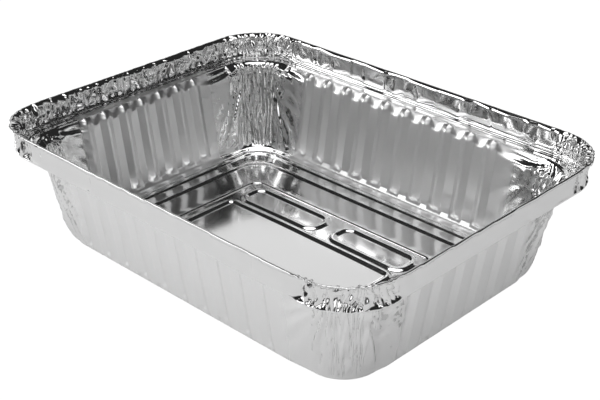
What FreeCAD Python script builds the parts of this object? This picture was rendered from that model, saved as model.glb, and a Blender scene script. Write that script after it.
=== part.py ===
import FreeCAD, Part
import math
import os

Vector = FreeCAD.Vector

# Rectangular foil tray pressed from one sheet.
# Millimetres, +Z up, origin at the middle of the underside, long sides along X.
# The sheet is drawn as a path of levels from the middle of the floor out to the hem.
# An upper and a lower skin lie half a gauge to each side of that path.

# Overall size and sheet
rim_length = 227.0
rim_width = 175.2
tray_height = 57.8
foil_gauge = 0.12

# Rim: collar, lid ledge and rolled hem
collar_height = 12.2
collar_foot_inset = 2.1
hem_depth = 1.3
hem_skirt = 1.0
hem_steps = 4
ledge_inner_inset = 9.0
rim_corner_radius = 27.0
ledge_corner_radius = 22.0

# Fluted wall and its foot
cove_height = 4.8
wall_top_inset = 12.8
wall_foot_inset = 19.3
foot_height = 3.0
foot_run = 2.6
foot_bend_run_share = 0.35
foot_bend_height_share = 0.3
wall_corner_radius = 19.0
foot_corner_radius = 17.0

# Flutes: ridges that stand inward between wider flats
flute_depth = 1.9
ridge_width = 7.4
crest_width = 1.2
flute_end_length = 4.2
flute_end_spread = 1.8
foot_bulge = 1.1
foot_bend_bulge = 0.9
flute_end_lift = 0.7
front_count = 10
front_pitch = 13.1
front_shift = -5.5
right_count = 6
right_pitch = 14.4
right_shift = -1.8
back_count = 10
back_pitch = 13.0
back_shift = 5.5
left_count = 7
left_pitch = 11.6
left_shift = 4.0

# Creases beside the flutes and pleats round the corners
fan_depth = 0.6
fan_flat_share = 0.5
fan_at_foot = (0.35, 0.70)
fan_at_top = (0.55, 0.85)
pleat_count = 16
pleat_depth = 0.55

# Creases of the collar
collar_crease_spacing = 9.0
collar_crease_depth = 0.18
collar_pleat_count = 12
collar_pleat_depth = 0.35

# Floor: standing ring, step, channel, rim bead and inner bead
stand_width = 3.3
step_width = 1.3
step_height = 1.4
land_width = 1.7
channel_slope = 0.9
channel_depth = 0.8
channel_width = 6.0
border_bead_height = 0.7
border_bead_crest = 1.4
border_bead_slope = 1.9
panel_height = 1.6
panel_width = 14.8
inner_bead_slope = 0.9
inner_bead_crest = 0.8
inner_bead_height = 0.7
floor_corner_radius = 11.0
inner_corner_radius = 5.0
floor_corner_steps = 6

# Beads pressed into the middle of the floor
bead_width = 4.0
bead_crest = 1.2
bead_height = 0.9
oval_width = 18.6
oval_corner_radius = 7.5
oval_gap = 6.5
oval_gap_place = 3.75
oval_left_gap = 4.5
oval_right_gap = 2.3
oval_edge_gap = 1.4
frame_corner_radius = 5.0
frame_gap = 0.5
frame_edge_gap = 1.0
frame_end_gap = 2.8
bead_corner_steps = 4
bead_smallest_radius = 0.4

half_gauge = foil_gauge / 2
ledge_z = tray_height - collar_height
lead_in = 1.0


def hem_levels():
    """Levels of the hem: half a turn outward over the top, then a short skirt."""
    radius = (hem_depth - half_gauge) / 2
    middle = (hem_depth + half_gauge) / 2
    centre_z = tray_height - half_gauge - radius
    levels = []
    for step in range(hem_steps + 1):
        angle = math.pi * step / hem_steps
        inset = middle + radius * math.cos(angle)
        height = centre_z + radius * math.sin(angle)
        levels.append(("hem %d" % step, inset, height, rim_corner_radius - inset))
    levels.append(("hem edge", half_gauge, centre_z - hem_skirt, rim_corner_radius))
    return levels


def sheet_levels():
    """Path of the middle of the sheet as (name, inset from the rim, height, corner radius)."""
    floor = half_gauge
    foot = wall_foot_inset + foot_run
    bend_inset = wall_foot_inset + foot_run * foot_bend_run_share
    bend_height = foot_height * foot_bend_height_share
    levels = [("foot outer", wall_foot_inset, foot_height, foot_corner_radius)]
    levels.insert(0, ("foot bend", bend_inset, bend_height, foot_corner_radius))
    levels.insert(0, ("stand outer", foot, floor, foot_corner_radius))
    inset = foot
    height = floor
    runs = (
        ("stand inner", stand_width, 0.0, floor_corner_radius),
        ("step top", step_width, step_height, floor_corner_radius),
        ("land inner", land_width, 0.0, floor_corner_radius),
        ("channel outer", channel_slope, -channel_depth, floor_corner_radius),
        ("channel inner", channel_width, 0.0, floor_corner_radius),
        ("border outer", channel_slope, channel_depth - step_height + panel_height + border_bead_height,
         floor_corner_radius),
        ("border inner", border_bead_crest, 0.0, floor_corner_radius),
        ("panel outer", border_bead_slope, -border_bead_height, floor_corner_radius),
        ("panel inner", panel_width, 0.0, inner_corner_radius),
        ("ring outer", inner_bead_slope, inner_bead_height, inner_corner_radius),
        ("ring inner", inner_bead_crest, 0.0, inner_corner_radius),
        ("middle edge", inner_bead_slope, -inner_bead_height, inner_corner_radius),
    )
    for name, run, rise, radius in runs:
        inset += run
        height += rise
        levels.insert(0, (name, inset, height, radius))
    slope = (wall_foot_inset - wall_top_inset) / (ledge_z - cove_height - foot_height)
    full_z = foot_height + flute_end_length
    levels.append(("flute low", wall_foot_inset - slope * flute_end_length, full_z, foot_corner_radius))
    levels.append(("flute high", wall_top_inset, ledge_z - cove_height, wall_corner_radius))
    levels.append(("ledge inner", ledge_inner_inset, ledge_z, ledge_corner_radius))
    levels.append(("ledge outer", collar_foot_inset, ledge_z, rim_corner_radius - collar_foot_inset))
    return levels + hem_levels()


def offset_path(points, distance):
    """Points (out, up) moved sideways by a distance, with mitred bends."""
    normals = []
    for (x0, z0), (x1, z1) in zip(points, points[1:]):
        length = math.hypot(x1 - x0, z1 - z0)
        normals.append((-(z1 - z0) / length, (x1 - x0) / length))
    moved = []
    for index, (x, z) in enumerate(points):
        before = normals[max(index - 1, 0)]
        after = normals[min(index, len(normals) - 1)]
        spread = 1 + before[0] * after[0] + before[1] * after[1]
        moved.append((x + distance * (before[0] + after[0]) / spread,
                      z + distance * (before[1] + after[1]) / spread))
    return moved


def skin_levels(distance):
    """Levels of one skin, by name, as (inset, height, corner radius)."""
    levels = sheet_levels()
    # The floor runs on level past the first point, so a lead-in point keeps it flat.
    lead = (-levels[0][1] - lead_in, levels[0][2])
    path = [lead] + [(-inset, height) for name, inset, height, radius in levels]
    moved = offset_path(path, distance)[1:]
    skin = {}
    for (name, inset, height, radius), (out, up) in zip(levels, moved):
        skin[name] = (-out, up, radius + inset + out)
    return skin


def fitting_ridges(count, pitch, shift, straight):
    """Middles of the ridges along a side, as many as its straight foot has room for."""
    room = 2 * (straight - abs(shift)) - ridge_width - 2 * flute_end_spread
    used = min(count, int(room / pitch) + 1)
    return [shift + pitch * (index - (used - 1) / 2) for index in range(used)]


def sides(inset):
    """The four sides as (along, outward, half run, half depth, middles of the ridges)."""
    half_length = rim_length / 2 - inset
    half_width = rim_width / 2 - inset
    x_axis = Vector(1, 0, 0)
    y_axis = Vector(0, 1, 0)
    corner_start = wall_foot_inset + foot_run + foot_corner_radius
    long_foot = rim_length / 2 - corner_start
    short_foot = rim_width / 2 - corner_start
    front = fitting_ridges(front_count, front_pitch, front_shift, long_foot)
    right = fitting_ridges(right_count, right_pitch, right_shift, short_foot)
    back = fitting_ridges(back_count, back_pitch, back_shift, long_foot)
    left = fitting_ridges(left_count, left_pitch, left_shift, short_foot)
    return (
        (x_axis, -y_axis, half_length, half_width, front),
        (y_axis, x_axis, half_width, half_length, right),
        (-x_axis, y_axis, half_length, half_width, back),
        (-y_axis, -x_axis, half_width, half_length, left),
    )


def ring(level, run_points, corner_count, corner_depth=0.0):
    """Closed ring of points at a level. run_points gives (along, out, up) for one side."""
    inset, height, radius = level
    points = []
    for along, outward, half_run, half_depth, middles in sides(inset):
        straight = half_run - radius
        for run, out, up in run_points(straight, middles):
            points.append(along * run + outward * (half_depth + out) + Vector(0, 0, height + up))
        centre = along * straight + outward * (half_depth - radius) + Vector(0, 0, height)
        for step in range(1, corner_count):
            angle = math.pi / 2 * step / corner_count
            fold = 0.0 if step % 2 else -2 * corner_depth * math.sin(2 * angle)
            direction = outward * math.cos(angle) + along * math.sin(angle)
            points.append(centre + direction * (radius + fold))
    return points


def plain_run(straight, middles):
    """A side without creases: its two ends."""
    return [(-straight, 0.0, 0.0), (straight, 0.0, 0.0)]


def fluted_run(bulge, crest_bulge, spread, lift, rise):
    """Maker of the stations of a fluted side: how far the flats and the crests stand out."""

    def run_points(straight, middles):
        half_ridge = ridge_width / 2
        fan = [low + (high - low) * rise for low, high in zip(fan_at_foot, fan_at_top)]
        fan_out = (bulge * fan_flat_share + fan_depth * rise, 0.0)
        points = [(-straight, 0.0, 0.0)]
        start_gap = middles[0] - half_ridge - spread + straight
        for share, out in zip(reversed(fan), reversed(fan_out)):
            points.append((-straight + start_gap * (1 - share), out, 0.0))
        for middle in middles:
            points.append((middle - half_ridge - spread, bulge, lift))
            points.append((middle - crest_width / 2, crest_bulge, -lift))
            points.append((middle + crest_width / 2, crest_bulge, -lift))
            points.append((middle + half_ridge + spread, bulge, lift))
        end_gap = straight - middles[-1] - half_ridge - spread
        for share, out in zip(fan, fan_out):
            points.append((straight - end_gap * (1 - share), out, 0.0))
        points.append((straight, 0.0, 0.0))
        return points

    return run_points


def creased_run(straight, middles):
    """A collar side: upright creases, every other one standing in."""
    total = 2 * max(2, round(straight / collar_crease_spacing))
    points = []
    for step in range(total + 1):
        fold = -collar_crease_depth if step % 2 else 0.0
        points.append((-straight + 2 * straight * step / total, fold, 0.0))
    return points


def bead_rings(distance, panel_z, middle_x, middle_y, length, width, radius):
    """Four rings of a closed raised bead in one skin, from its outer edge to its inner edge."""
    slope = (bead_width - bead_crest) / 2
    low = panel_z
    high = panel_z + bead_height
    path = [(-lead_in, low), (0.0, low), (slope, high), (slope + bead_crest, high),
            (bead_width, low), (bead_width + lead_in, low)]
    moved = offset_path(path, distance)[1:-1]
    rings = []
    for depth, height in moved:
        corner = max(radius - depth, bead_smallest_radius)
        half_x = length / 2 - depth - corner
        half_y = width / 2 - depth - corner
        points = []
        for turn, (sign_x, sign_y) in enumerate(((1, 1), (-1, 1), (-1, -1), (1, -1))):
            for step in range(bead_corner_steps + 1):
                angle = math.pi / 2 * (turn + step / bead_corner_steps)
                x = middle_x + sign_x * half_x + corner * math.cos(angle)
                y = middle_y + sign_y * half_y + corner * math.sin(angle)
                points.append(Vector(x, y, height))
        rings.append(points)
    return rings


def floor_beads(distance, panel_z):
    """The two oval beads in a row and the large frame bead beside them."""
    inset = sheet_levels()[0][1]
    half_x = rim_length / 2 - inset
    half_y = rim_width / 2 - inset
    left_start = oval_left_gap - half_x
    left_end = oval_gap_place - oval_gap / 2
    right_start = oval_gap_place + oval_gap / 2
    right_end = half_x - oval_right_gap
    oval_y = half_y - oval_edge_gap - oval_width / 2
    frame_top = oval_y - oval_width / 2 - frame_gap
    frame_bottom = frame_edge_gap - half_y
    frame_length = 2 * (half_x - frame_end_gap)
    frame_width = frame_top - frame_bottom
    frame_y = (frame_top + frame_bottom) / 2
    left_x = (left_start + left_end) / 2
    right_x = (right_start + right_end) / 2
    beads = (
        (left_x, oval_y, left_end - left_start, oval_width, oval_corner_radius),
        (right_x, oval_y, right_end - right_start, oval_width, oval_corner_radius),
        (0.0, frame_y, frame_length, frame_width, frame_corner_radius),
    )
    return [bead_rings(distance, panel_z, *bead) for bead in beads]


class Facets:
    """Maker of flat faces that share their corners and edges, so that they close into a shell."""

    def __init__(self):
        self.corners = {}
        self.edges = {}

    def corner(self, point):
        key = (round(point.x, 6), round(point.y, 6), round(point.z, 6))
        if key not in self.corners:
            self.corners[key] = Part.Vertex(point)
        return key, self.corners[key]

    def edge(self, start, end):
        start_key, start_corner = self.corner(start)
        end_key, end_corner = self.corner(end)
        key = (min(start_key, end_key), max(start_key, end_key))
        if key not in self.edges:
            self.edges[key] = Part.Edge(start_corner, end_corner)
        return self.edges[key]

    def wire(self, points):
        pairs = zip(points, points[1:] + points[:1])
        return Part.Wire([self.edge(start, end) for start, end in pairs])

    def polygon(self, points):
        return Part.Face(self.wire(points))

    def ring(self, boundary, holes):
        """One level face inside a ring, with rings cut out of it."""
        wires = [self.wire(points) for points in [boundary] + holes]
        return Part.makeFace(wires, "Part::FaceMakerBullseye")


facets = Facets()


def strip_faces(lower, upper):
    """Faces between two rings of equal count: flat quads, or two triangles where they twist."""
    faces = []
    total = len(lower)
    for index in range(total):
        follow = (index + 1) % total
        a = lower[index]
        b = lower[follow]
        c = upper[follow]
        d = upper[index]
        twist = abs((b - a).cross(d - a).normalize().dot(c - a))
        if twist < 1e-9:
            faces.append(facets.polygon([a, b, c, d]))
        elif a.z < b.z:
            faces.append(facets.polygon([a, b, c]))
            faces.append(facets.polygon([a, c, d]))
        else:
            faces.append(facets.polygon([a, b, d]))
            faces.append(facets.polygon([b, c, d]))
    return faces


def floor_faces(skin, distance):
    """The pressed floor of one skin, from the standing ring to the middle panel."""
    names = ("stand inner", "step top", "land inner", "channel outer", "channel inner",
             "border outer", "border inner", "panel outer", "panel inner", "ring outer",
             "ring inner", "middle edge")
    rings = [ring(skin[name], plain_run, floor_corner_steps) for name in names]
    faces = []
    for outer, inner in zip(rings, rings[1:]):
        if abs(outer[0].z - inner[0].z) < 1e-9:
            faces.append(facets.ring(outer, [inner]))
        else:
            faces.extend(strip_faces(outer, inner))
    beads = floor_beads(distance, skin["middle edge"][1] - distance)
    faces.append(facets.ring(rings[-1], [bead[0] for bead in beads]))
    for bead in beads:
        faces.extend(strip_faces(bead[0], bead[1]))
        faces.append(facets.ring(bead[1], [bead[2]]))
        faces.extend(strip_faces(bead[2], bead[3]))
        faces.append(facets.ring(bead[3], []))
    return faces, rings[0]


def wall_rings(skin):
    """Rings of the fluted wall, from the standing ring up to the ledge."""
    # Level, bulge of flats and crests, spread, lift, how far up the wall, share of pleat depth
    stages = (
        ("stand outer", 0.0, 0.0, flute_end_spread, 0.0, 0.0, 0.3),
        ("foot bend", foot_bend_bulge, foot_bend_bulge, flute_end_spread, 0.0, 0.0, 0.6),
        ("foot outer", foot_bulge, foot_bulge, flute_end_spread, flute_end_lift, 0.05, 1.0),
        ("flute low", flute_depth, 0.0, 0.0, 0.0, 0.15, 1.0),
        ("flute high", flute_depth, 0.0, 0.0, 0.0, 0.9, 1.0),
        ("ledge inner", 0.0, 0.0, 0.0, 0.0, 1.0, 0.7),
    )
    rings = []
    for name, bulge, crest_bulge, spread, lift, rise, share in stages:
        run_points = fluted_run(bulge, crest_bulge, spread, lift, rise)
        rings.append(ring(skin[name], run_points, pleat_count, pleat_depth * share))
    return rings


def collar_rings(skin):
    """Rings of the collar and the hem, from the ledge to the free edge."""
    names = ["ledge outer"] + ["hem %d" % step for step in range(hem_steps + 1)] + ["hem edge"]
    rings = []
    for name in names:
        rings.append(ring(skin[name], creased_run, collar_pleat_count, collar_pleat_depth))
    return rings


def skin_faces(distance):
    """All faces of one skin, and the ring at its free edge."""
    skin = skin_levels(distance)
    faces, stand_ring = floor_faces(skin, distance)
    wall = wall_rings(skin)
    collar = collar_rings(skin)
    faces.append(facets.ring(wall[0], [stand_ring]))
    for lower, upper in zip(wall, wall[1:]):
        faces.extend(strip_faces(lower, upper))
    faces.append(facets.ring(collar[0], [wall[-1]]))
    for lower, upper in zip(collar, collar[1:]):
        faces.extend(strip_faces(lower, upper))
    return faces, collar[-1]


def make_tray():
    upper_faces, upper_edge = skin_faces(half_gauge)
    lower_faces, lower_edge = skin_faces(-half_gauge)
    edge_faces = strip_faces(lower_edge, upper_edge)
    sheet = Part.makeCompound(upper_faces + lower_faces + edge_faces)
    sheet.sewShape()
    solid = Part.Solid(sheet.Shells[0])
    if solid.Volume < 0:
        solid.reverse()
    return solid


os.makedirs("parts", exist_ok=True)
tray = make_tray()
tray.exportStep("parts/foil_tray.step")
box = tray.BoundBox
print("foil_tray", "valid", tray.isValid(), "shells", len(tray.Shells), "faces", len(tray.Faces))
print("size %.2f x %.2f x %.2f, lowest %.3f" % (box.XLength, box.YLength, box.ZLength, box.ZMin))
print("volume %.1f mm3, mass at 2.70 g/cm3 %.1f g" % (tray.Volume, tray.Volume * 0.0027))
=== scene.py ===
# %% [markdown]
# An open rectangular food tray, pressed cold from one sheet of bright aluminium foil.
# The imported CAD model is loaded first. It fixes the size and the place of everything,
# and the finished foil below stands in for its one node.

# %% Load the frame
import bpy
import math
import numpy as np
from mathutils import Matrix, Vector, noise


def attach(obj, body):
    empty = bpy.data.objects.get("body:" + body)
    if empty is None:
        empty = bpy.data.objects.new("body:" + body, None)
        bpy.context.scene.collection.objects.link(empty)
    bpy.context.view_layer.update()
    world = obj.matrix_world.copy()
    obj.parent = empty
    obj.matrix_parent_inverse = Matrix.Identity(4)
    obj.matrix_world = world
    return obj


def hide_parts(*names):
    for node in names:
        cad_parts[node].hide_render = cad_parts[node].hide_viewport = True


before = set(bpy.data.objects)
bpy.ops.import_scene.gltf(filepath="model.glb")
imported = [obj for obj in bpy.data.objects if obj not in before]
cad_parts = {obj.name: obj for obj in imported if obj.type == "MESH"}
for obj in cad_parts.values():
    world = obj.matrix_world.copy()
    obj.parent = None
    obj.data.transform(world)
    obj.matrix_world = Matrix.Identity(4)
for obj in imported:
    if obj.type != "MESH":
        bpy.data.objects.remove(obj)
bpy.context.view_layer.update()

# %% [markdown]
# The main sizes are those of the CAD model, in millimetres. The press has four sides,
# and each has its own row of upright ridges: how many, how far apart, and how far
# the row is shifted along the side.

# %% Sizes of the tray
MM = 0.001
RIM_LENGTH = 227.0
RIM_WIDTH = 175.2
HEIGHT = 57.8
GAUGE = 0.12
LEDGE_Z = 45.6
COLLAR_INSET = 2.1
LEDGE_INSET = 9.0
WALL_TOP_INSET = 12.8
WALL_TOP_Z = 40.8
FOOT_INSET = 19.3
FOOT_Z = 3.0
STAND_INSET = 21.9
HALF_GAUGE = GAUGE / 2

RIDGE_DEPTH = 1.9
RIDGE_HALF = 3.7
CREST_HALF = 0.6
# Number of ridges, pitch and shift along each side: front, right, back, left
RIDGE_ROWS = ((10, 13.1, -5.5), (6, 14.4, -1.8), (10, 13.0, 5.5), (7, 11.6, 4.0))
FOOT_RADIUS = 17.0
WALL_RADIUS = 19.0
LEDGE_RADIUS = 22.0
RIM_RADIUS = 27.0

# %% [markdown]
# Going round the tray, the sheet is laid out in columns. Columns stand close together
# at each fold of a ridge and in the gathered corners, and wide apart on the flats.
# A column keeps its place along its side at every height, so that the folds run straight up.

# %% Columns of each side
HALF_SIZES = (RIM_LENGTH / 2, RIM_WIDTH / 2)
# Half the width of the soft fold at each edge of a ridge
FOLD = 0.28
# Steps across a flat between two ridges, and over the plain ends of a side
FLAT_STEPS = 4
PLAIN_STEP = 1.25
FEWEST_PLAIN_STEPS = 4
RIM_STEP = 0.85
FLOOR_STEP = 3.0
CORNER_COLUMNS = 84
FLOOR_CORNER_COLUMNS = 48
# The seam on the standing ring, where the floor meets the walls
SEAM_INSET = 23.5
SEAM_RADIUS = 14.0


def ridge_middles(side):
    count, pitch, shift = RIDGE_ROWS[side]
    return [shift + pitch * (k - (count - 1) / 2) for k in range(count)]


def side_columns(side):
    """Columns of one side as (kind, value): at a fixed run, or a share of an end zone."""
    middles = ridge_middles(side)
    offsets = []
    for edge in (-RIDGE_HALF, -CREST_HALF, CREST_HALF, RIDGE_HALF):
        offsets += [edge - FOLD, edge, edge + FOLD]
    runs = [m + o for m in middles for o in offsets]
    gap = RIDGE_ROWS[side][1] - 2 * RIDGE_HALF
    for m in middles[:-1]:
        runs += [m + RIDGE_HALF + gap * k / FLAT_STEPS for k in range(1, FLAT_STEPS)]
    runs = sorted(runs)
    straight = HALF_SIZES[side % 2] - STAND_INSET - FOOT_RADIUS
    low_steps = max(FEWEST_PLAIN_STEPS, round((straight + runs[0]) / PLAIN_STEP))
    high_steps = max(FEWEST_PLAIN_STEPS, round((straight - runs[-1]) / PLAIN_STEP))
    columns = [("low", k / low_steps, runs[0]) for k in range(low_steps)]
    columns += [("run", 0.0, run) for run in runs]
    columns += [("high", (k + 1) / high_steps, runs[-1]) for k in range(high_steps)]
    return columns + corner_columns(CORNER_COLUMNS)


def corner_columns(count):
    return [("corner", (k + 1) / count, 0.0) for k in range(count - 1)]


def even_columns(half, step):
    steps = round(2 * half / step)
    return [("even", 2 * k / steps - 1, 0.0) for k in range(steps + 1)]


def rim_columns(side):
    """The rim has no ridges, so its columns are spaced evenly for the fine creases."""
    half = HALF_SIZES[side % 2] - COLLAR_INSET - RIM_RADIUS
    return even_columns(half, RIM_STEP) + corner_columns(CORNER_COLUMNS)


def floor_columns(side):
    """The floor is plain along its sides, so wide columns are enough."""
    half = HALF_SIZES[side % 2] - SEAM_INSET - SEAM_RADIUS
    return even_columns(half, FLOOR_STEP) + corner_columns(FLOOR_CORNER_COLUMNS)


# %% Columns round the tray
# The length round the tray is measured along the ledge, at this inset and corner radius
MEASURE_INSET = 8.0
MEASURE_RADIUS = 23.0
ALONG = np.array([(1, 0), (0, 1), (-1, 0), (0, -1)], float)
OUTWARD = np.array([(0, -1), (1, 0), (0, 1), (-1, 0)], float)


class Columns:
    """The columns of one sheet, and where each stands at a level of the press."""

    def __init__(self, columns_of_side):
        layout = [(side,) + column for side in range(4) for column in columns_of_side(side)]
        self.count = len(layout)
        self.side = np.array([c[0] for c in layout])
        self.kind = np.array([c[1] for c in layout])
        self.share = np.array([c[2] for c in layout])
        self.run = np.array([c[3] for c in layout])
        self.corner = self.kind == "corner"
        self.half_along = np.array([HALF_SIZES[s % 2] for s in self.side])
        self.half_out = np.array([HALF_SIZES[(s + 1) % 2] for s in self.side])
        # Turn from the corner's middle in degrees, for the gathers
        self.turn = np.where(self.corner, np.abs(self.share - 0.5) * 90.0, 45.0)
        self.measure()

    def places(self, inset, radius):
        """Plan position, outward direction and run along the side of each column."""
        straight = self.half_along - inset - radius
        # Inside the standing ring the columns draw together with the shorter sides
        seam = self.half_along - SEAM_INSET - SEAM_RADIUS
        held = straight if inset <= SEAM_INSET else seam
        run = np.where(self.kind == "low", -held + (self.run + held) * self.share, self.run)
        run = np.where(self.kind == "high", self.run + (held - self.run) * self.share, run)
        run = np.where(self.kind == "even", self.share * held, run)
        run = run * straight / held
        angle = np.where(self.corner, self.share * math.pi / 2, 0.0)
        reach = np.where(self.corner, straight, run)
        along = ALONG[self.side]
        out = OUTWARD[self.side]
        direction = out * np.cos(angle)[:, None] + along * np.sin(angle)[:, None]
        base = along * reach[:, None] + out * (self.half_out - inset - radius)[:, None]
        return base + direction * radius, direction, run

    def measure(self):
        """Running length of each column round the tray, and its distance from a corner."""
        place = self.places(MEASURE_INSET, MEASURE_RADIUS)[0]
        step = np.linalg.norm(np.diff(place, axis=0, append=place[:1]), axis=1)
        self.length = np.concatenate([[0.0], np.cumsum(step)[:-1]])
        self.total = step.sum()
        gap = np.abs(self.length[:, None] - self.length[self.corner][None, :])
        gap = np.minimum(gap, self.total - gap).min(axis=1)
        self.corner_gap = np.where(self.corner, 0.0, gap)

    def band(self, rows, shift=None):
        """Places of all columns at rows of (inset, z, radius). shift moves them inward."""
        places = np.zeros((len(rows), self.count, 3))
        for k, (inset, z, radius) in enumerate(rows):
            place, direction, _ = self.places(inset, radius)
            if shift is not None:
                place = place - direction * shift[k][:, None]
            places[k, :, :2] = place
            places[k, :, 2] = z
        return places


wall_columns = Columns(side_columns)
hoop_columns = Columns(rim_columns)
border_columns = Columns(floor_columns)
print("columns in the walls", wall_columns.count, "and in the rim", hoop_columns.count)


# %% [markdown]
# The tray's section is a path of points from the floor out to the rim, each with its
# distance in from the rim, its height and its corner radius. Each bend is rounded
# by a few extra rows, because foil never folds to a perfect edge.

# %% Section of the tray
CHANNEL_Z = 0.66
LAND_Z = 1.46
PANEL_Z = 1.66
BEAD_Z = 2.36
FLOOR_PATH = (
    (56.7, PANEL_Z, 5.0), (55.8, BEAD_Z, 5.0), (55.0, BEAD_Z, 5.0), (54.1, PANEL_Z, 5.0),
    (39.3, PANEL_Z, 11.0), (37.4, BEAD_Z, 11.0), (36.0, BEAD_Z, 11.0),
    (35.1, CHANNEL_Z, 11.0), (29.1, CHANNEL_Z, 11.0), (28.2, LAND_Z, 11.0),
    (26.5, LAND_Z, 11.0), (25.2, HALF_GAUGE, 11.0), (23.5, HALF_GAUGE, 14.0),
)
ROUNDING = 0.3
# A rounded bend takes at most this share of the run on each side of it
BEND_SHARE = 0.35


def rounded_rows(path, longest, rounding=ROUNDING):
    """Rows along a path of (inset, z, radius): bends rounded, and long runs divided."""
    path = np.array(path, float)
    points = [path[0]]
    for before, corner, after in zip(path, path[1:], path[2:]):
        back = before - corner
        ahead = after - corner
        back_length = np.hypot(back[0], back[1])
        ahead_length = np.hypot(ahead[0], ahead[1])
        cut = min(rounding, back_length * BEND_SHARE, ahead_length * BEND_SHARE)
        start = corner + back * (cut / back_length)
        end = corner + ahead * (cut / ahead_length)
        points += [start, (start + 2 * corner + end) / 4, end]
    points.append(path[-1])
    rows = [points[0]]
    for start, end in zip(points, points[1:]):
        length = math.hypot(end[0] - start[0], end[1] - start[1])
        steps = max(1, math.ceil(length / longest - 1e-6))
        rows += [start + (end - start) * (k + 1) / steps for k in range(steps)]
    return np.array(rows)


# %% [markdown]
# What the press does to the sheet is worked out for every column and row at once:
# the ridges stand inward between wider flats, end in pointed feet above the floor,
# and run up into the rounded step under the ledge.

# %% The ridges of the walls
def ridge_distance(run, side):
    """Distance along the side to the nearest ridge, and how far into the flat it is (0 to 1)."""
    middles = np.array(ridge_middles(side))
    pitch = RIDGE_ROWS[side][1]
    distance = np.abs(run[:, None] - middles[None, :]).min(axis=1)
    half_flat = pitch / 2 - RIDGE_HALF
    into_flat = np.clip((distance - RIDGE_HALF) / half_flat, 0.0, 1.0)
    outside = (run < middles[0] - pitch / 2) | (run > middles[-1] + pitch / 2)
    return distance, into_flat, outside


WALL_SLOPE = (FOOT_INSET - WALL_TOP_INSET) / (WALL_TOP_Z - FOOT_Z)
# Height of a flat's pointed foot at its edge and in its middle, and how far out
# the wall stands below it, as a share of the ridge depth
FOOT_RISE_EDGE = 2.0
FOOT_RISE_MIDDLE = 5.2
FOOT_SHARE = 0.6
# From here up a ridge narrows to a tip and leans out to the ledge
TIP_Z = 41.5
TIP_HALF = 1.5
# Where the step above a flat starts, in the flat's middle and at its edge
SCOOP_DEEP = 40.3
SCOOP_HIGH = 42.2


def wall_inset(z, distance, into_flat, flat_share):
    """Inset of the ridged wall at a height: the crest plane pushed outward on the flats."""
    crest = WALL_TOP_INSET + WALL_SLOPE * (WALL_TOP_Z - z)
    tip = np.clip((z - TIP_Z) / (LEDGE_Z - TIP_Z), 0.0, 1.0)
    half = RIDGE_HALF + (TIP_HALF - RIDGE_HALF) * tip
    slope = np.clip((distance - CREST_HALF) / (half - CREST_HALF), 0.0, 1.0)
    out = RIDGE_DEPTH * slope
    rise = FOOT_RISE_EDGE + (FOOT_RISE_MIDDLE - FOOT_RISE_EDGE) * into_flat
    foot = np.clip((z - FOOT_Z) / rise, 0.0, 1.0)
    foot_out = FOOT_SHARE * RIDGE_DEPTH
    out = np.where(out > foot_out, np.minimum(out, foot_out + (RIDGE_DEPTH - foot_out) * foot),
                   np.maximum(out, foot_out * (1 - foot))) * flat_share
    flat = crest - RIDGE_DEPTH * flat_share
    start = SCOOP_DEEP + (SCOOP_HIGH - SCOOP_DEEP) * (1 - into_flat) ** 2
    scoop = (flat - LEDGE_INSET) * np.clip((z - start) / (LEDGE_Z - start), 0.0, 1.0)
    cove = flat - scoop
    ridge = crest - out - (crest - LEDGE_INSET) * tip ** 3
    return np.where(slope < 1.0, np.maximum(cove, ridge), np.minimum(cove, crest - out))


# %% [markdown]
# The corners are where the spare foil goes. On the wall it gathers in upright pleats
# that lean and cross; on the collar it is crushed into small facets. Both are made
# from triangle waves and cell noise, which have the flat faces and hard folds of foil.

# %% Gathers and creases
def triangle(value):
    return np.abs((value % 1.0) * 2 - 1) * 2 - 1


def smooth_noise(x, y, z=0.0):
    """Soft noise at many places at once."""
    flat = zip(np.ravel(x), np.ravel(y))
    values = [noise.noise(Vector((a, b, z))) for a, b in flat]
    return np.array(values).reshape(np.shape(x))


def cell_noise(x, y, z=0.0):
    """Distance to the nearest cell point: cones that meet in hard folds."""
    flat = zip(np.ravel(x), np.ravel(y))
    values = [noise.voronoi(Vector((a, b, z)))[0][0] for a, b in flat]
    return np.array(values).reshape(np.shape(x))


def fade(value, low, high):
    t = np.clip((value - low) / (high - low), 0.0, 1.0)
    return t * t * (3 - 2 * t)


def grids(columns, z):
    shape = (len(z), columns.count)
    return np.broadcast_to(columns.length[None, :], shape), np.broadcast_to(z[:, None], shape)


# %% Gathers in the wall corners
# Reach of the gathers from the corner's middle at the foot, and how much more at the top,
# in degrees. Depths and widths are in millimetres. The factors inside the noise calls
# are noise cells per millimetre, and the last number only picks another part of the noise.
PLEAT_REACH = 23.0
PLEAT_SPREAD = 9.0
PLEAT_BLEND = 3.0
PLEAT_WIDTH = 3.1
PLEAT_DEPTH = 0.85
CROSS_DEPTH = 0.36


def pleats(columns, z):
    """Depth of the gathers in the wall corners at heights z, rows by columns."""
    s, h = grids(columns, z)
    up = np.clip((h - FOOT_Z) / (WALL_TOP_Z - FOOT_Z), 0.0, 1.0)
    reach = PLEAT_REACH + PLEAT_SPREAD * up
    inside = 1 - fade(columns.turn[None, :], reach - PLEAT_BLEND, reach + PLEAT_BLEND)
    wander = smooth_noise(s * 0.16, h * 0.05, 3.0) * 1.3
    wave = triangle(s / PLEAT_WIDTH + wander)
    cross = triangle((s + 0.3 * h) / 4.7 + smooth_noise(s * 0.2, h * 0.09, 7.0) * 0.8)
    cross += triangle((s - 0.25 * h) / 3.9 + smooth_noise(s * 0.2, h * 0.08, 11.0) * 0.8)
    size = 0.75 + 0.6 * smooth_noise(s * 0.35, h * 0.1, 17.0)
    return (PLEAT_DEPTH * wave + CROSS_DEPTH * cross) * size * inside


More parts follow.
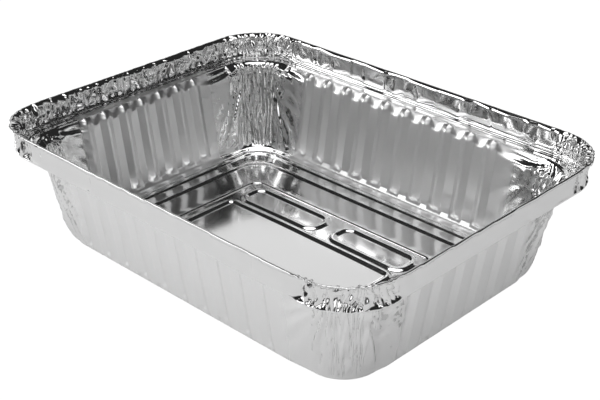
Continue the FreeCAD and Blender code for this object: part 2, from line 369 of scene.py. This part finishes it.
# %% Fans of creases beside the corners
# A fan opens from a point above the wall and beside the corner. FAN_TURN is the turn
# from one crease to the next in degrees, and beyond FAN_END the wall is smooth.
FAN_ABOVE = 4.0
FAN_BESIDE = 9.0
FAN_TURN = 13.0
FAN_FINE_TURN = 5.5
FAN_DEPTH = 0.8
FAN_FINE_DEPTH = 0.3
FAN_START = 17.0
FAN_END = 33.0


def fans(columns, z):
    """Long soft creases that sweep from the top of each corner over the end of a wall."""
    s, h = grids(columns, z)
    drop = WALL_TOP_Z + FAN_ABOVE - h
    beside = np.where(columns.corner, (columns.turn - 45.0) * 0.3, columns.corner_gap)
    away = beside[None, :] + FAN_BESIDE
    angle = np.degrees(np.arctan2(away, np.maximum(drop, 0.5)))
    wave = triangle(angle / FAN_TURN + smooth_noise(s * 0.04, h * 0.03, 21.0) * 0.8)
    fine = triangle(angle / FAN_FINE_TURN + smooth_noise(s * 0.08, h * 0.05, 31.0) * 0.9)
    near = 1 - fade(away, FAN_START, FAN_END)
    outside = fade(np.where(columns.corner, columns.turn, 46.0)[None, :], 22.0, 34.0)
    return (FAN_DEPTH * wave + FAN_FINE_DEPTH * fine) * near * outside


# %% Crushed corners of the collar
# The left collar is crushed along its whole length, at this share of the corners' depth
LEFT_SIDE = 3
LEFT_SHARE = 0.62
# Beside a corner the crushing dies away over this length
CRUSH_END = 6.0
# Width and height of a large and a small facet, with the depth of each
CRUSH_CELL = (4.4, 7.0)
CRUSH_DEPTH = 2.9
CRUSH_FINE_CELL = (2.6, 4.0)
CRUSH_FINE_DEPTH = 1.3
# Upright folds between the facets, and how far in the middle of the crushing lies
CRUSH_FOLD = 3.2
CRUSH_FOLD_DEPTH = 1.0
CRUSH_MIDDLE = 0.5
# About the mean of the cell noise, taken off so that facets go both ways
CELL_MEAN = 0.35


def crush(columns, z):
    """Depth of the crushed facets: all of each collar corner, and the whole left collar."""
    s, h = grids(columns, z)
    left = np.where(columns.side == LEFT_SIDE, LEFT_SHARE, 0.0)
    beside = np.maximum(left, 1 - fade(columns.corner_gap, 0.0, CRUSH_END))
    inside = np.where(columns.corner, 1.0, beside)[None, :]
    cells = cell_noise(s / CRUSH_CELL[0], h / CRUSH_CELL[1], 5.0) - CELL_MEAN
    fine = cell_noise(s / CRUSH_FINE_CELL[0], h / CRUSH_FINE_CELL[1], 9.0) - CELL_MEAN
    wave = triangle(s / CRUSH_FOLD + smooth_noise(s * 0.2, h * 0.1, 2.0) * 1.4)
    depth = CRUSH_DEPTH * cells + CRUSH_FINE_DEPTH * fine + CRUSH_FOLD_DEPTH * wave
    return np.maximum(depth + CRUSH_MIDDLE, 0.0) * inside


# %% Creases of the straight collars
# A crease is a wide facet and a narrow fold, each drawn from these widths
FACET_WIDTHS = [4.0, 7.0, 11.0]
FOLD_WIDTHS = [0.9, 1.8]
# Greatest depth at the foot, at half height and at the top of the collar
CREASE_DEPTHS = np.array([[0.4], [1.5], [1.6]])
COLLAR_HEIGHT = 11.0


def collar_creases(columns, z):
    """Depth of the facets along the straight collars: random knots at three levels."""
    s, h = grids(columns, z)
    dice = np.random.default_rng(7)
    knots = [0.0]
    while knots[-1] < columns.total - FACET_WIDTHS[0]:
        knots.append(knots[-1] + dice.choice(FACET_WIDTHS))
        knots.append(knots[-1] + dice.choice(FOLD_WIDTHS))
    knots = np.array([columns.length[np.abs(columns.length - k).argmin()] for k in knots])
    levels = dice.uniform(0.0, 1.0, (3, len(knots))) * CREASE_DEPTHS
    levels[:, -1] = levels[:, 0]
    up = np.clip((h - LEDGE_Z) / COLLAR_HEIGHT, 0.0, 1.0) * 2.0
    # The creases lean to and fro along the collar
    lean = s + (h - LEDGE_Z) * 0.16 * triangle(s / 37.0)
    low, middle, high = [np.interp(lean, knots, level) for level in levels]
    return np.where(up < 1, low + (middle - low) * up, middle + (high - middle) * (up - 1))


# %% [markdown]
# Pressing a sheet: a flat grid with one vertex for each column and row is added,
# every vertex is moved to its place on the pressed form, and the two ends are merged.
# Operators alone can't draw folds into a sheet, so the vertices are placed in code.
# A Solidify modifier then gives the foil its gauge.

# %% Pressing a sheet
def pressed_sheet(name, places, drawn=0.0):
    """A closed band of foil. places has rows x columns x 3, in millimetres.

    drawn says for each column how far the press has stretched and dulled the foil.
    """
    rows, columns, _ = places.shape
    bpy.ops.object.select_all(action="DESELECT")
    bpy.ops.mesh.primitive_grid_add(x_subdivisions=columns, y_subdivisions=rows - 1, size=1.0)
    sheet = bpy.context.object
    sheet.name = name
    sheet.data.name = name
    closed = np.concatenate([places, places[:, :1]], axis=1) * MM
    sheet.data.vertices.foreach_set("co", closed.ravel())
    sheet.data.update()
    dulled = np.broadcast_to(drawn, (rows, columns))
    dulled = np.concatenate([dulled, dulled[:, :1]], axis=1)
    attribute = sheet.data.attributes.new("drawn", "FLOAT", "POINT")
    attribute.data.foreach_set("value", dulled.ravel())
    bpy.ops.object.mode_set(mode="EDIT")
    bpy.ops.mesh.select_all(action="SELECT")
    bpy.ops.mesh.remove_doubles(threshold=1e-7)
    bpy.ops.object.mode_set(mode="OBJECT")
    return sheet


def finish_sheet(sheet):
    gauge = sheet.modifiers.new("gauge", "SOLIDIFY")
    gauge.thickness = GAUGE * MM
    gauge.offset = 0.0
    bpy.ops.object.select_all(action="DESELECT")
    bpy.context.view_layer.objects.active = sheet
    sheet.select_set(True)
    bpy.ops.object.modifier_apply(modifier="gauge")
    bpy.ops.object.shade_smooth()
    sheet.data.calc_loop_triangles()
    print(sheet.name, "triangles", len(sheet.data.loop_triangles))


# %% [markdown]
# The floor border is the stamped frame of beads and the channel round the flat panel.
# The die presses it into the sheet to stiffen the tray. It could be a lofted surface,
# but rows of the section path carried round the columns follow every bend exactly.

# %% Floor border, from the middle panel to the standing ring
floor_rows = rounded_rows(FLOOR_PATH, 2.5, 0.22)
floor_border = pressed_sheet("foil_floor", border_columns.band(floor_rows))

# %% [markdown]
# The walls rise from the ring that the tray stands on. Each flat between two ridges
# ends in a pointed foot below and a scooped step above, where the punch lets go of it.
# Separate ridge bodies could be joined on, but foil is one sheet, so the ridges,
# feet and steps are worked out together as one surface. The press dulls the foil
# that it stretches, and the corners, which are only gathered, stay mirror bright.

# %% Walls, from the standing ring to the ledge
STAND_ROWS = (
    (SEAM_INSET, HALF_GAUGE, SEAM_RADIUS), (22.3, HALF_GAUGE, 15.5), (21.3, 0.1, FOOT_RADIUS),
    (20.6, 0.28, FOOT_RADIUS), (20.15, 0.62, FOOT_RADIUS), (19.9, 1.1, FOOT_RADIUS),
    (19.7, 1.7, FOOT_RADIUS),
)
# How far each of these rows follows the flats' feet outward
STAND_FOLLOW = (0.0, 0.0, 0.2, 0.55, 0.8, 0.95, 1.0)
# Heights of the wall's rows, close together at the feet and at the steps
wall_z = np.concatenate([
    np.arange(2.6, 9.0, 0.62), np.arange(9.0, 40.0, 2.0), [40.3, 40.65, 40.95],
    np.arange(41.4, 45.3, 0.45), [45.3]])
LEDGE_PATH = (
    (9.25, 45.5, 21.9), (8.75, LEDGE_Z + 0.22, LEDGE_RADIUS), (8.1, LEDGE_Z, 22.2),
    (5.6, LEDGE_Z, 24.0),
)
# Heights over which the gathers and the fans start above the foot, and end at the top
PLEAT_FOOT = (1.0, 4.0)
PLEAT_TOP = (43.5, 45.6)
FAN_FOOT = (2.5, 9.0)
FAN_TOP = (41.0, 45.0)
# Lengths beside a corner over which the foil turns from bright to drawn
DRAWN_FADE = (6.0, 20.0)

# The flats stand out over the whole row of ridges, and fade out to the plain corners
share = wall_columns.share
kind = wall_columns.kind
flat_share = np.where(kind == "low", fade(share, 0.0, 0.8), 1.0)
flat_share = np.where(kind == "high", 1 - fade(share, 0.2, 1.0), flat_share)
flat_share = np.where(wall_columns.corner, 0.0, flat_share)
stand_shift = [-FOOT_SHARE * RIDGE_DEPTH * follow * flat_share for follow in STAND_FOLLOW]
wall_parts = [wall_columns.band(STAND_ROWS, stand_shift)]
plain_pleats = pleats(wall_columns, wall_z)
fan_folds = fans(wall_columns, wall_z)
wall_places = np.zeros((len(wall_z), wall_columns.count, 3))
for k, z in enumerate(wall_z):
    up = np.clip((z - FOOT_Z) / (WALL_TOP_Z - FOOT_Z), 0.0, 1.0)
    radius = FOOT_RADIUS + (WALL_RADIUS - FOOT_RADIUS) * up
    over = np.clip((z - WALL_TOP_Z) / (LEDGE_Z - WALL_TOP_Z), 0.0, 1.0)
    radius = radius + (LEDGE_RADIUS - WALL_RADIUS) * over
    middle_inset = WALL_TOP_INSET + WALL_SLOPE * (WALL_TOP_Z - z)
    place, direction, run = wall_columns.places(middle_inset, radius)
    inset = np.zeros(wall_columns.count)
    for side in range(4):
        mine = wall_columns.side == side
        distance, into_flat, outside = ridge_distance(run[mine], side)
        into = np.where(outside, 1.0, into_flat)
        inset[mine] = wall_inset(np.full(mine.sum(), z), distance, into, flat_share[mine])
    fold = plain_pleats[k] * fade(z, *PLEAT_FOOT) * (1 - fade(z, *PLEAT_TOP))
    fold = fold + fan_folds[k] * fade(z, *FAN_FOOT) * (1 - fade(z, *FAN_TOP))
    shift = inset - middle_inset + fold
    wall_places[k, :, :2] = place - direction * shift[:, None]
    wall_places[k, :, 2] = z
wall_parts.append(wall_places)
wall_parts.append(wall_columns.band(rounded_rows(LEDGE_PATH, 1.7, 0.2)))
drawn_share = fade(wall_columns.corner_gap, *DRAWN_FADE)
walls = pressed_sheet("foil_walls", np.concatenate(wall_parts), drawn_share)

# %% [markdown]
# The rim is the upright collar that takes a lid, rolled over at the top into a hem.
# Fingers and packing have creased it, and its corners are crushed into small facets.
# A swept hem could be added as its own body, but the creases run through collar
# and hem alike, so both are rows of one sheet.

# %% Rim: outer half of the ledge, collar and hem
HEM_RADIUS = 0.62
HEM_MIDDLE = 0.68
HEM_STEPS = 8
RIM_PATH = (
    (5.6, LEDGE_Z, 24.0), (4.6, LEDGE_Z, 24.5), (4.1, LEDGE_Z - 0.35, 24.7),
    (3.5, LEDGE_Z, 25.0), (2.2, LEDGE_Z + 0.1, 25.4), (1.9, LEDGE_Z + 0.8, 25.0),
    (1.3, 56.9, 25.7),
)
# The creases start above the ledge, and the hem keeps a fifth of their depth
CREASE_FOOT = (45.7, 47.5)
CREASE_HEM = (56.4, 57.8)
HEM_STIFFNESS = 0.8

rim_rows = list(rounded_rows(RIM_PATH, 0.75))
for k in range(1, HEM_STEPS + 1):
    angle = math.pi * k / HEM_STEPS
    rim_rows.append(np.array([HEM_MIDDLE + HEM_RADIUS * math.cos(angle),
                              HEIGHT - HALF_GAUGE - HEM_RADIUS + HEM_RADIUS * math.sin(angle),
                              RIM_RADIUS - HEM_MIDDLE - HEM_RADIUS * math.cos(angle)]))
rim_rows.append(np.array([HALF_GAUGE, 56.5, RIM_RADIUS]))
rim_rows.append(np.array([HALF_GAUGE + 0.1, 56.0, RIM_RADIUS]))
rim_rows = np.array(rim_rows)
rim_z = rim_rows[:, 1]
collar_fold = crush(hoop_columns, rim_z) + collar_creases(hoop_columns, rim_z)
collar_fold *= (fade(rim_z, *CREASE_FOOT) * (1 - HEM_STIFFNESS * fade(rim_z, *CREASE_HEM)))[:, None]
rim = pressed_sheet("foil_rim", hoop_columns.band(rim_rows, collar_fold))

# %% [markdown]
# The middle of the floor is a slightly crowned panel with three raised beads, two ovals
# and a long frame. Beads could be swept along their paths; a height over a plain grid
# lets them run into each other softly, as stamped foil does.

# %% The middle of the floor
def rounded_box_distance(x, y, middle_x, middle_y, half_x, half_y, radius):
    qx = np.abs(x - middle_x) - (half_x - radius)
    qy = np.abs(y - middle_y) - (half_y - radius)
    outside = np.hypot(np.maximum(qx, 0), np.maximum(qy, 0))
    return outside + np.minimum(np.maximum(qx, qy), 0) - radius


# Middle and half sizes of each bead's crest line, and its corner radius
BEADS = (
    (-25.9, 20.2, 24.4, 7.3, 5.8),
    (30.75, 20.2, 21.75, 7.3, 5.8),
    (0.0, -9.8, 52.0, 18.2, 3.5),
)
BEAD_TOP_HALF = 0.35
BEAD_HALF = 2.0
BEAD_RISE = 0.9
MIDDLE_HALF = (57.1, 31.2)
MIDDLE_STEPS = (190, 104)
# The middle lies this much under the floor border where the two overlap
MIDDLE_DROP = 0.01
# Rise of the crown, and height and width of the slow waves on it
CROWN = 0.75
PANEL_WAVE = 0.12
PANEL_WAVE_WIDTH = 22.0


def middle_height(x, y):
    crown = CROWN * (1 - (x / MIDDLE_HALF[0]) ** 2) * (1 - (y / MIDDLE_HALF[1]) ** 2)
    waves = smooth_noise(x / PANEL_WAVE_WIDTH, y / PANEL_WAVE_WIDTH, 41.0) * PANEL_WAVE
    base = PANEL_Z + crown + waves * np.minimum(crown / CROWN * 3, 1)
    height = base.copy()
    for middle_x, middle_y, half_x, half_y, radius in BEADS:
        away = np.abs(rounded_box_distance(x, y, middle_x, middle_y, half_x, half_y, radius))
        height = np.maximum(height, base + BEAD_RISE * (1 - fade(away, BEAD_TOP_HALF, BEAD_HALF)))
    return height


bpy.ops.object.select_all(action="DESELECT")
bpy.ops.mesh.primitive_grid_add(
    x_subdivisions=MIDDLE_STEPS[0], y_subdivisions=MIDDLE_STEPS[1], size=2.0)
middle = bpy.context.object
middle.name = "foil_middle"
co = np.zeros(len(middle.data.vertices) * 3)
middle.data.vertices.foreach_get("co", co)
co = co.reshape(-1, 3)
x = co[:, 0] * MIDDLE_HALF[0]
y = co[:, 1] * MIDDLE_HALF[1]
pressed = np.stack([x, y, middle_height(x, y) - MIDDLE_DROP], axis=1) * MM
middle.data.vertices.foreach_set("co", pressed.ravel())
middle.data.update()
print("beads on the middle of the floor", len(BEADS))

# %% Join the floor and give each sheet its gauge
bpy.ops.object.select_all(action="DESELECT")
middle.select_set(True)
floor_border.select_set(True)
bpy.context.view_layer.objects.active = floor_border
bpy.ops.object.join()
for sheet in (floor_border, walls, rim):
    finish_sheet(sheet)

# %% [markdown]
# Aluminium foil is rolled bright on one side, so it mirrors the room almost like glass.
# One material function serves all of it: a metal with a pale base colour and a very
# faint ripple, at most a hundredth of a millimetre deep. Only roughness and ripple differ.
# - bright_floor_foil: household foil as rolled; the floor mirrors the walls sharply.
# - drawn_wall_foil: the same foil stretched over the press; it has a satin sheen.
# - folded_rim_foil: folded and creased foil, whose facets flash black and white.

# %% Foil material
def linear(hex_colour):
    parts = [int(hex_colour[k:k + 2], 16) / 255 for k in (1, 3, 5)]
    return tuple(p / 12.92 if p <= 0.04045 else ((p + 0.055) / 1.055) ** 2.4 for p in parts) + (1.0,)


def add_node(tree, kind, inputs=(), **settings):
    node = tree.nodes.new(kind)
    for key, value in settings.items():
        setattr(node, key, value)
    for key, value in dict(inputs).items():
        if isinstance(value, bpy.types.NodeSocket):
            tree.links.new(value, node.inputs[key])
        else:
            node.inputs[key].default_value = value
    return node


FOIL_COLOUR = "#F5F5F5"
# Ripples per metre, so one is about 8 mm wide
RIPPLE_SCALE = 120.0


def foil_material(name, bright, dull, ripple_depth):
    material = bpy.data.materials.new(name)
    material.use_nodes = True
    tree = material.node_tree
    shader = tree.nodes["Principled BSDF"]
    shader.inputs["Base Color"].default_value = linear(FOIL_COLOUR)
    shader.inputs["Metallic"].default_value = 1.0
    drawn = add_node(tree, "ShaderNodeAttribute", attribute_name="drawn")
    roughness = add_node(tree, "ShaderNodeMapRange", {
        "Value": drawn.outputs["Fac"], "To Min": bright, "To Max": dull})
    tree.links.new(roughness.outputs[0], shader.inputs["Roughness"])
    place = add_node(tree, "ShaderNodeTexCoord")
    ripple = add_node(tree, "ShaderNodeTexNoise", {
        "Vector": place.outputs["Object"], "Scale": RIPPLE_SCALE, "Detail": 2.0})
    bump = add_node(tree, "ShaderNodeBump", {
        "Height": ripple.outputs["Fac"], "Strength": 1.0, "Distance": ripple_depth})
    tree.links.new(bump.outputs["Normal"], shader.inputs["Normal"])
    return material


# Sheet, finish, roughness where bright and where drawn, and ripple depth in metres
FINISHES = (
    (floor_border, "bright_floor_foil", 0.12, 0.12, 0.00001),
    (walls, "drawn_wall_foil", 0.10, 0.34, 0.000004),
    (rim, "folded_rim_foil", 0.09, 0.09, 0.000004),
)
for sheet, name, bright, dull, ripple_depth in FINISHES:
    sheet.data.materials.clear()
    sheet.data.materials.append(foil_material(name, bright, dull, ripple_depth))
    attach(sheet, "root")
    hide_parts("foil_tray")
    print(sheet.name, "has the finish", name)

# %% [markdown]
# Foil shows its surroundings, so the studio makes the look: a white paper table that
# is pure white to the camera but keeps a faint shadow, a dark room, and four large
# soft boxes: one low at the front left, one behind the camera, one overhead
# and one behind. The dark gaps between them draw the folds.

# %% Table
WHITE = (1, 1, 1, 1)
# Share of pure white in what the camera sees, and strength of that white
WHITE_SHARE = 0.92
WHITE_STRENGTH = 1.1
# Glow that the table adds to its own shading in the foil's reflections
MIRRORED_GLOW = 0.2
bpy.ops.mesh.primitive_plane_add(size=6.0, location=(0, 0, 0))
table = bpy.context.object
table.name = "table"
paper = bpy.data.materials.new("white_paper")
paper.use_nodes = True
tree = paper.node_tree
diffuse = tree.nodes["Principled BSDF"]
diffuse.inputs["Base Color"].default_value = linear("#E8E8E8")
diffuse.inputs["Roughness"].default_value = 0.9
glow = add_node(tree, "ShaderNodeEmission", {"Color": WHITE, "Strength": WHITE_STRENGTH})
faint = add_node(tree, "ShaderNodeEmission", {"Color": WHITE, "Strength": MIRRORED_GLOW})
path = add_node(tree, "ShaderNodeLightPath")
mirrored = add_node(tree, "ShaderNodeAddShader", {0: diffuse.outputs[0], 1: faint.outputs[0]})
shadow = add_node(tree, "ShaderNodeMixShader", {
    0: WHITE_SHARE, 1: diffuse.outputs[0], 2: glow.outputs[0]})
mix = add_node(tree, "ShaderNodeMixShader", {
    0: path.outputs["Is Camera Ray"], 1: mirrored.outputs[0], 2: shadow.outputs[0]})
tree.links.new(mix.outputs[0], tree.nodes["Material Output"].inputs["Surface"])
table.data.materials.append(paper)
print("table", list(table.dimensions))

# %% World
# Grey of the room at the table's level and higher up, each with its height in the sky
ROOM = ((0.09, 0.3), (0.18, 0.02))
world = bpy.data.worlds.new("studio")
bpy.context.scene.world = world
world.use_nodes = True
tree = world.node_tree
place = add_node(tree, "ShaderNodeTexCoord")
split = add_node(tree, "ShaderNodeSeparateXYZ", {0: place.outputs["Generated"]})
ramp = add_node(tree, "ShaderNodeValToRGB", {0: split.outputs[2]})
for element, (height, grey) in zip(ramp.color_ramp.elements, ROOM):
    element.position = height
    element.color = (grey, grey, grey, 1)
path = add_node(tree, "ShaderNodeLightPath")
blend = add_node(tree, "ShaderNodeMixRGB", {
    0: path.outputs["Is Camera Ray"], 1: ramp.outputs[0], 2: WHITE})
tree.links.new(blend.outputs[0], tree.nodes["Background"].inputs["Color"])
print("room greys", [grey for height, grey in ROOM])


# %% Soft boxes
def soft_box(name, azimuth, elevation, distance, size, brightness):
    """A softbox that looks at the tray. Brightness 1 is as white as paper in a reflection."""
    light = bpy.data.lights.new(name, "AREA")
    light.shape = "RECTANGLE"
    light.size = size[0]
    light.size_y = size[1]
    light.energy = brightness * math.pi * size[0] * size[1]
    lamp = bpy.data.objects.new(name, light)
    bpy.context.scene.collection.objects.link(lamp)
    a = math.radians(azimuth)
    e = math.radians(elevation)
    lamp.location = (distance * math.cos(e) * math.cos(a), distance * math.cos(e) * math.sin(a),
                     distance * math.sin(e))
    lamp.rotation_euler = (-lamp.location).to_track_quat("-Z", "Y").to_euler()
    print("soft box", name, round(light.energy, 1), "W")


# Name, azimuth and elevation in degrees, distance and size in metres, brightness
soft_box("key", -137, 21, 2.0, (1.2, 1.0), 2.8)
soft_box("fill", -46, 32, 2.0, (1.3, 1.0), 1.3)
soft_box("top", -90, 84, 2.0, (1.7, 1.7), 1.9)
soft_box("behind", 138, 27, 2.5, (1.1, 1.0), 0.75)

# %% [markdown]
# The camera looks down at the tray over its right front corner, through a long lens.

# %% Camera
CAMERA_PLACE = (0.354439, -0.363811, 0.293814)
# Turn round from the front and look down, in radians
CAMERA_YAW = 0.7673166
CAMERA_PITCH = 0.4878245
# Focal length and width of the picture in its own pixels
FOCAL_PIXELS = 1249.213
PICTURE_WIDTH = 600
SENSOR_WIDTH = 36.0
camera_data = bpy.data.cameras.new("camera")
camera = bpy.data.objects.new("camera", camera_data)
bpy.context.scene.collection.objects.link(camera)
camera.location = CAMERA_PLACE
camera_data.sensor_width = SENSOR_WIDTH
camera_data.lens = FOCAL_PIXELS / PICTURE_WIDTH * SENSOR_WIDTH
camera.rotation_euler = (math.pi / 2 - CAMERA_PITCH, 0.0, CAMERA_YAW)
bpy.context.scene.camera = camera
bpy.context.scene.view_settings.view_transform = "Standard"
print("camera lens", round(camera_data.lens, 1), "mm")
